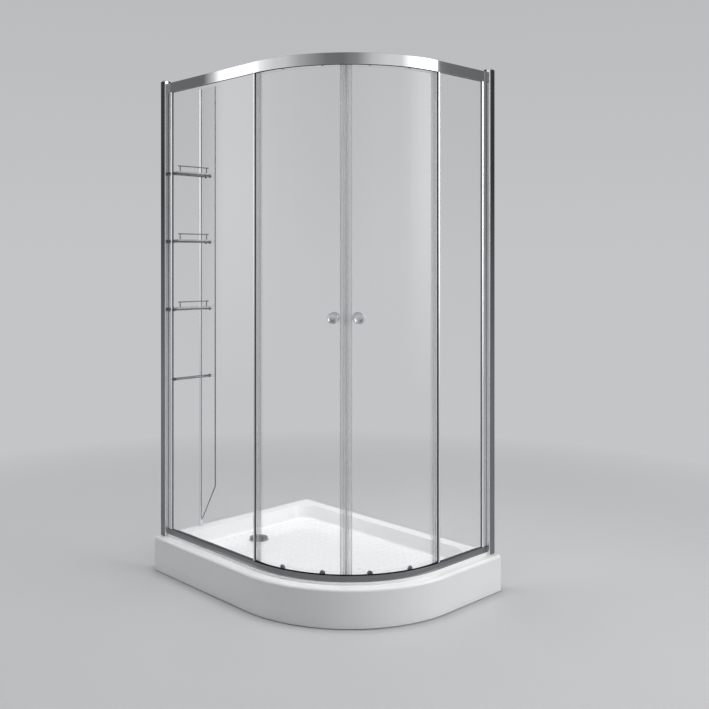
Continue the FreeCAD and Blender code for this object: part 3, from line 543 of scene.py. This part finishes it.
knob = {"turned": [(0.0, 1.0), (12.4, 1.0), (13.0, 1.3), (13.0, 1.7), (12.5, 2.0), (10.2, 2.3), (9.2, 3.2),
                   (8.8, 5.0), (8.6, 9.0), (8.8, 12.0), (9.6, 13.6), (11.5, 14.6), (15.0, 15.0), (18.5, 15.2),
                   (20.6, 16.0), (21.7, 17.6), (22.0, 20.0), (22.0, 25.0), (21.8, 27.4), (21.0, 29.2),
                   (19.8, 30.0), (18.6, 29.8), (17.4, 28.8), (16.0, 27.0), (13.5, 25.6), (9.0, 24.9),
                   (0.0, 24.8)],
        "stud": [(0.0, -7.5), (4.0, -7.5), (4.0, 1.5), (0.0, 1.5)], "segments": 64, "height": 1.15,
        "outerFace": 0.4806, "innerFace": 0.4746, "turns": {"left": 39.3617, "right": 50.6383}}


def addTurned(mesh, outline, base, axis):
    # Spin an outline round the axis through base
    side = Vector((0, 0, 1))
    other = axis.cross(side)
    count = knob["segments"]
    rows = []
    for radius, height in outline:
        middle = base + axis * (height / perMetre)
        if radius == 0:
            rows.append([mesh.verts.new(middle)] * count)
            continue
        spokes = [side * math.cos(turn) + other * math.sin(turn) for turn in circleTurns(count)]
        rows.append([mesh.verts.new(middle + spoke * (radius / perMetre)) for spoke in spokes])
    for lower, upper in zip(rows, rows[1:]):
        joinRings(mesh, lower, upper)


def makeKnobs(side):
    turn = math.radians(knob["turns"][side])
    out = Vector((math.sin(turn), -math.cos(turn), 0))
    middle = Vector((*cornerAxis, knob["height"]))
    mesh = bmesh.new()
    addTurned(mesh, knob["turned"], middle + out * knob["outerFace"], out)
    addTurned(mesh, knob["turned"], middle + out * knob["innerFace"], -out)
    addTurned(mesh, knob["stud"], middle + out * knob["outerFace"], out)
    bmesh.ops.recalc_face_normals(mesh, faces=mesh.faces)
    piece = meshObject(side + "Knobs", mesh, chrome)
    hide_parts(side + "_knobs")
    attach(piece, side + "_door")


for side in ("left", "right"):
    makeKnobs(side)
print("knobs turned")

# Drawn uprights with their ribs, grooves and rounded noses. Outlines are in millimetres: from the wall
# and in from the tray's front edge for the fixed ones, along the door and in from that edge for its strips

plan = {"halfLength": 600.0, "halfWidth": 450.0, "bendRadius": 550.0, "doorRadius": 477.6, "paneMiddle": 53.2}
railRoom = (0.184, 2.106)  # between the bottom and the top rail
doorRoom = (0.169, 2.1229)
uprightCrease = 34.0

wallProfile = {  # the jamb's channel with a hollow box on its outside
    "piece": "WallProfile", "node": "wall_profile", "finish": satinUpright, "slot": "bright_aluminium",
    "room": (0.15, 2.158),
    "outlines": [[(0, 31.6), (0.6, 31), (31.6, 31), (32.4, 31), (33.5, 31.4), (34, 32.5), (34, 33.4),
                  (34, 46.8), (0, 46.8)],
                 [(0, 46.8), (1.8, 46.8), (1.8, 59.6), (0, 59.6)],
                 [(0, 59.6), (33, 59.6), (33.7, 59.7), (34, 60.3), (33.2, 61), (31.6, 61.4), (0, 61.4)]]}
profileCover = {  # snap-on cover of the box's outside; its dark grey is a painted reflection of dark surroundings
    "piece": "ProfileCover", "finish": greyUprightPaintedReflection, "slot": "bright_aluminium", "room": (0.1505, 2.1575),
    "outlines": [[(0.8, 31.2), (0.8, 30.6), (1.4, 30.3), (2.2, 30.3), (30.6, 30.3), (31.4, 30.3),
                  (32.2, 30.5), (32.6, 31.2)]]}
outerRib = [(4, 48.1), (44.8, 48.1), (45.4, 48.1), (46.6, 47.8), (48.2, 47.1), (51, 46.6), (55, 46.4),
            (59, 46.6), (61.8, 47.1), (63.4, 47.8), (64, 48.5), (63.6, 48.6), (4, 48.6)]
innerRib = [(place, 2 * plan["paneMiddle"] - inset) for place, inset in outerRib]
jamb = {  # ribbed on both sides of the pane
    "piece": "Jamb", "node": "jamb", "finish": satinUpright, "slot": "bright_aluminium", "room": railRoom,
    "outlines": [outerRib, innerRib, [(51, 48.6), (52.6, 48.6), (52.6, 57.8), (51, 57.8)]]}
post = {  # bright edge profile on the fixed pane's free edge, rounded off towards the door
    "piece": "Post", "node": "post", "finish": satinUpright, "slot": "bright_aluminium", "room": railRoom,
    "backRun": 300.0,
    "outlines": [[(632, 48.8), (632.4, 48.4), (635.8, 48.4), (637.6, 48.5), (639.3, 48.7), (639.6, 49.1),
                  (639.6, 57.5), (639, 58), (632.4, 58), (632, 57.6), (632, 56.7), (632.4, 56.4),
                  (638.2, 56.4), (638.2, 50), (632.4, 50), (632, 49.7)]]}
postNose = {  # dark rubber nose that the door's rear strip runs past; its near-black colour is painted shade on the post's end
    "piece": "PostNose", "finish": noseRubberPaintedShade, "slot": "black_rubber", "room": railRoom, "backRun": 300.0,
    "outlines": [[(639.4, 48.7), (640.4, 48.8), (640.9, 49.4), (641, 50.2), (641, 56.2), (640.9, 57),
                  (640.4, 57.6), (639.4, 57.7)]]}
nicheChannel = {  # holds the narrow pane on the side wall
    "finish": uprightMetal, "slot": "bright_aluminium", "room": (0.187, 2.15),
    "outlines": [[(0, 239.4), (12.6, 239.4), (13.6, 239.8), (14, 240.5), (13.6, 241), (1.6, 241),
                  (1.6, 247.4), (13.6, 247.4), (14, 247.9), (13.6, 248.6), (12.6, 249), (0, 249)]]}
leadStrip = {  # clear sleeve on the glass, beaded at its free edges
    "piece": "LeadStrip", "node": "lead_stile", "finish": clearStrip, "slot": "seal_vinyl", "room": doorRoom,
    "start": 44.3522, "towards": -1,
    "outlines": [[(0, 67.6), (17, 67.6), (17.6, 67.9), (18, 68.5), (17.6, 69.1), (2, 69.2), (2, 75.6),
                  (17.6, 75.7), (18, 76.3), (17.6, 76.9), (17, 77.2), (0, 77.2)],
                 [(13.4, 67.6), (14, 67), (15.4, 66.6), (16.8, 67), (17.4, 67.7), (16.8, 68.2), (14, 68.2)],
                 [(0.4, 67.6), (1, 67), (3, 66.7), (4.6, 67), (5.2, 67.6), (4.6, 68), (1, 68)]]}
trailStrip = {  # the same kind of sleeve, wider, on the door's rear edge
    "piece": "TrailStrip", "node": "trail_stile", "finish": clearStrip, "slot": "seal_vinyl",
    "room": doorRoom, "start": -2.3993, "towards": 1,
    "outlines": [[(0, 67.6), (24, 67.6), (24.6, 67.9), (25, 68.5), (24.6, 69.1), (2, 69.2), (2, 75.6),
                  (24.6, 75.7), (25, 76.3), (24.6, 76.9), (24, 77.2), (0, 77.2)],
                 [(17.6, 67.6), (18.4, 67), (21.4, 66.6), (23.6, 67), (24.4, 67.7), (23.6, 68.2),
                  (18.4, 68.2)],
                 [(6, 67.6), (6.6, 67), (9, 66.7), (11, 67), (11.6, 67.6), (11, 68), (6.6, 68)]]}


def besideWall(side, shape, place, inset):
    # Plan point of something measured from its wall; the back wall's side is shorter by the shape's back run
    if side == "left":
        return (place - plan["halfLength"]) / perMetre, (inset - plan["halfWidth"]) / perMetre
    fromWall = place - shape.get("backRun", 0.0)
    return (plan["halfLength"] - inset) / perMetre, (plan["halfWidth"] - fromWall) / perMetre


def roundCorner(turn, inset):
    radius = (plan["bendRadius"] - inset) / perMetre
    return cornerAxis[0] + radius * math.sin(turn), cornerAxis[1] - radius * math.cos(turn)


def onDoor(side, strip, place, inset):
    turn = math.radians(strip["start"]) + strip["towards"] * place / plan["doorRadius"]
    if side == "right":
        turn = quarterTurn - turn
    return roundCorner(turn, inset)


def addPrism(mesh, corners, room):
    low, high = [[mesh.verts.new((x, y, z)) for x, y in corners] for z in room]
    joinRings(mesh, low, high)
    mesh.faces.new(list(reversed(low)))
    mesh.faces.new(high)


def makeUpright(side, shape, name, node=None):
    rides = "start" in shape  # strips that bend with a door ride on it
    toPlan = onDoor if rides else besideWall
    mesh = bmesh.new()
    for outline in shape["outlines"]:
        addPrism(mesh, [toPlan(side, shape, place, inset) for place, inset in outline], shape["room"])
    bmesh.ops.recalc_face_normals(mesh, faces=mesh.faces)
    piece = meshObject(name, mesh, shape["finish"], crease=uprightCrease)
    if node:
        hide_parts(node)
    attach(piece, side + "_door" if rides else "enclosure")


for side in ("left", "right"):
    for shape in (wallProfile, jamb, post, leadStrip, trailStrip):
        makeUpright(side, shape, side + shape["piece"], side + "_" + shape["node"])
    for shape in (profileCover, postNose):
        makeUpright(side, shape, side + shape["piece"])
makeUpright("left", nicheChannel, "nicheChannel", "niche_channel")
print("uprights drawn")

# White sealing bead along the outer foot of the bottom rail; its outline is inset and height in millimetres

bead = {"outline": [(45.2, 150.0), (45.2, 159.4), (44.4, 159.2), (42.4, 157.2), (40.6, 153.8), (39.8, 150.0)],
        "ends": 34.0, "steps": 60, "crease": 50.0, "slot": "white_acrylic"}


def beadStations():
    # Functions of the inset for the plan points along the bead, from the side wall to the back wall
    stations = [lambda inset: besideWall("left", {}, bead["ends"], inset)]
    for step in range(bead["steps"] + 1):
        turn = quarterTurn * step / bead["steps"]
        stations.append(lambda inset, turn=turn: roundCorner(turn, inset))
    stations.append(lambda inset: besideWall("right", {}, bead["ends"], inset))
    return stations


def makeBead():
    mesh = bmesh.new()
    rings = []
    for station in beadStations():
        rings.append([mesh.verts.new((*station(inset), height / perMetre))
                      for inset, height in bead["outline"]])
    for before, after in zip(rings, rings[1:]):
        joinRings(mesh, before, after)
    mesh.faces.new(rings[0])
    mesh.faces.new(rings[-1])
    bmesh.ops.recalc_face_normals(mesh, faces=mesh.faces)
    piece = meshObject("railBead", mesh, silicone, crease=bead["crease"])
    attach(piece, "enclosure")


makeBead()
print("sealing bead laid")

# Studio: pale floor that runs out into the backdrop, soft lamps and the camera

studio = {"floorRadius": 14.0, "floorSegments": 96, "floorColour": (0.48, 0.485, 0.49), "floorRough": 0.55,
          "clouds": 1.5, "cloudDetail": 4.0, "cloudShade": 0.97, "fade": (1.1, 3.4),
          "backdrop": (0.55, 0.558, 0.57), "zenith": (0.36, 0.37, 0.385), "zenithRise": (0.0, 0.9),
          "ambient": 0.42}
lamps = [  # glow is the brightness of the box's face, where 1 is white
    {"name": "leftSoftbox", "place": (-2.55, -2.6, 1.7), "aim": (0, 0, 1.0), "size": (1.2, 2.4), "glow": 1.9},
    {"name": "windowSoftbox", "place": (3.6, 1.3, 1.7), "aim": (0, 0, 1.0), "size": (2.2, 2.4), "glow": 4.2},
    {"name": "topSoftbox", "place": (0.0, 0.0, 4.3), "aim": (0, 0, 0), "size": (2.4, 2.4), "glow": 10.0},
]
gradedScreen = {  # stands round the front, and only metal and glass mirror it; steps are angle and level
    "radius": 6.0, "height": 5.0, "fadeHeight": 2.1, "first": -165.0, "last": 70.0, "strength": 3.0,
    "segments": 96,
    "steps": [(-165, 0.15), (-142.15, 0.15), (-141.85, 1.6), (-137, 1.5), (-132, 0.98), (-126, 0.86),
              (-114, 0.68), (-101, 0.62), (-88, 0.42), (-76, 0.3), (-62, 0.18), (-48, 0.16), (-34, 0.26),
              (-21, 0.56), (-7, 0.7), (6, 0.74), (18, 1.5), (30, 2.8), (45.6, 3.0), (46.4, 0.22), (48, 0.16),
              (54, 0.13), (70, 0.3)]}
shot = {"place": (2.8292, -2.6349, 1.3748), "yaw": 46.584, "lens": 45.929, "sensor": 36.0,
        "shift": (0.03552, -0.13517)}


def seenGlow(tree):
    # Full strength for what the camera sees, straight or in metal and glass; less for the light on surfaces
    rays = addNode(tree, "LightPath")
    mirrored = mathNode(tree, "MAXIMUM", rays.outputs["Is Glossy Ray"], rays.outputs["Is Transmission Ray"])
    seen = mathNode(tree, "MAXIMUM", rays.outputs["Is Camera Ray"], mirrored)
    return mapValue(tree, seen, rising, (studio["ambient"], 1.0))


def hideFrom(piece, rays):
    for ray in rays:
        setattr(piece, "visible_" + ray, False)


def makeFloor():
    mesh = bmesh.new()
    bmesh.ops.create_circle(mesh, cap_ends=True, radius=studio["floorRadius"],
                            segments=studio["floorSegments"])
    material, tree, shader = newMaterial("paleFloor", Roughness=studio["floorRough"])
    cloud = noiseValue(tree, studio["clouds"], studio["cloudDetail"])
    darker = [share * studio["cloudShade"] for share in studio["floorColour"]]
    paint(tree, shader, cloud, studio["floorColour"], darker)
    place = addNode(tree, "TexCoord")
    far = addNode(tree, "VectorMath", operation="LENGTH")
    link(tree, place.outputs["Object"], far.inputs[0])
    glow = setInputs(addNode(tree, "Emission"), Color=(*studio["backdrop"], 1))
    link(tree, seenGlow(tree), glow.inputs["Strength"])
    faded = mapValue(tree, far.outputs["Value"], studio["fade"], rising)
    mixShaders(tree, faded, shader.outputs["BSDF"], glow.outputs["Emission"])
    floor = meshObject("paleFloor", mesh, material, smooth=False)


def makeBackdrop():
    world = bpy.data.worlds.new("studioBackdrop")
    world.use_nodes = True
    scene.world = world
    tree = world.node_tree
    place = addNode(tree, "TexCoord")
    split = addNode(tree, "SeparateXYZ")
    link(tree, place.outputs["Generated"], split.inputs["Vector"])
    height = mapValue(tree, split.outputs["Z"], studio["zenithRise"], rising)
    sky = tree.nodes["Background"]
    link(tree, mixColours(tree, height, studio["backdrop"], studio["zenith"]), sky.inputs["Color"])
    link(tree, seenGlow(tree), sky.inputs["Strength"])


def makeLamps():
    for lamp in lamps:
        light = bpy.data.lights.new(lamp["name"], "AREA")
        light.shape = "RECTANGLE"
        light.size, light.size_y = lamp["size"]
        light.energy = lamp["glow"] * math.pi * light.size * light.size_y
        holder = bpy.data.objects.new(lamp["name"], light)
        holder.location = lamp["place"]
        towards = Vector(lamp["aim"]) - Vector(lamp["place"])
        holder.rotation_euler = towards.to_track_quat("-Z", "Y").to_euler()
        hideFrom(holder, ("camera", "glossy", "transmission"))
        scene.collection.objects.link(holder)


def stopAt(stops, share):
    # A ramp has a stop at each end from the start
    if share == 0:
        return stops[0]
    if share == 1:
        return stops[-1]
    return stops.new(share)


def makeScreenGlow(first, last):
    # Brightness by the angle round the room, faded into the backdrop towards the floor
    material = bpy.data.materials.new("gradedScreen")
    material.use_nodes = True
    tree = material.node_tree
    tree.nodes.remove(tree.nodes["Principled BSDF"])
    place = addNode(tree, "TexCoord")
    split = addNode(tree, "SeparateXYZ")
    link(tree, place.outputs["Object"], split.inputs["Vector"])
    turn = mathNode(tree, "ARCTAN2", split.outputs["Y"], split.outputs["X"])
    ramp = addNode(tree, "ValToRGB")
    link(tree, mapValue(tree, turn, (math.radians(first), math.radians(last)), rising), ramp.inputs["Fac"])
    strength = gradedScreen["strength"]
    for angle, level in gradedScreen["steps"]:
        grey = level / strength
        stop = stopAt(ramp.color_ramp.elements, (angle - first) / (last - first))
        stop.color = (grey, grey, grey, 1)
    low = [share / strength for share in studio["backdrop"]]
    rise = mapValue(tree, split.outputs["Z"], (0.0, gradedScreen["fadeHeight"]), rising)
    glow = setInputs(addNode(tree, "Emission"), Strength=strength)
    link(tree, mixColours(tree, rise, low, ramp.outputs["Color"]), glow.inputs["Color"])
    link(tree, glow.outputs["Emission"], tree.nodes["Material Output"].inputs["Surface"])
    return material


def makeScreen():
    mesh = bmesh.new()
    first, last, count = gradedScreen["first"], gradedScreen["last"], gradedScreen["segments"]
    rows = []
    for step in range(count + 1):
        turn = math.radians(first + (last - first) * step / count)
        x = gradedScreen["radius"] * math.cos(turn)
        y = gradedScreen["radius"] * math.sin(turn)
        rows.append([mesh.verts.new((x, y, z)) for z in (0, gradedScreen["height"])])
    for left, right in zip(rows, rows[1:]):
        mesh.faces.new((left[0], right[0], right[1], left[1]))
    screen = meshObject("gradedScreen", mesh, makeScreenGlow(first, last), smooth=False)
    hideFrom(screen, ("camera", "diffuse", "transmission", "shadow"))


def makeCamera():
    camera = bpy.data.cameras.new("photoCamera")
    camera.sensor_width = shot["sensor"]
    camera.lens = shot["lens"]
    camera.shift_x, camera.shift_y = shot["shift"]
    holder = bpy.data.objects.new("photoCamera", camera)
    holder.location = shot["place"]
    holder.rotation_euler = (quarterTurn, 0, math.radians(shot["yaw"]))
    scene.collection.objects.link(holder)
    scene.camera = holder


makeFloor()
makeBackdrop()
makeLamps()
makeScreen()
makeCamera()
print("studio ready")
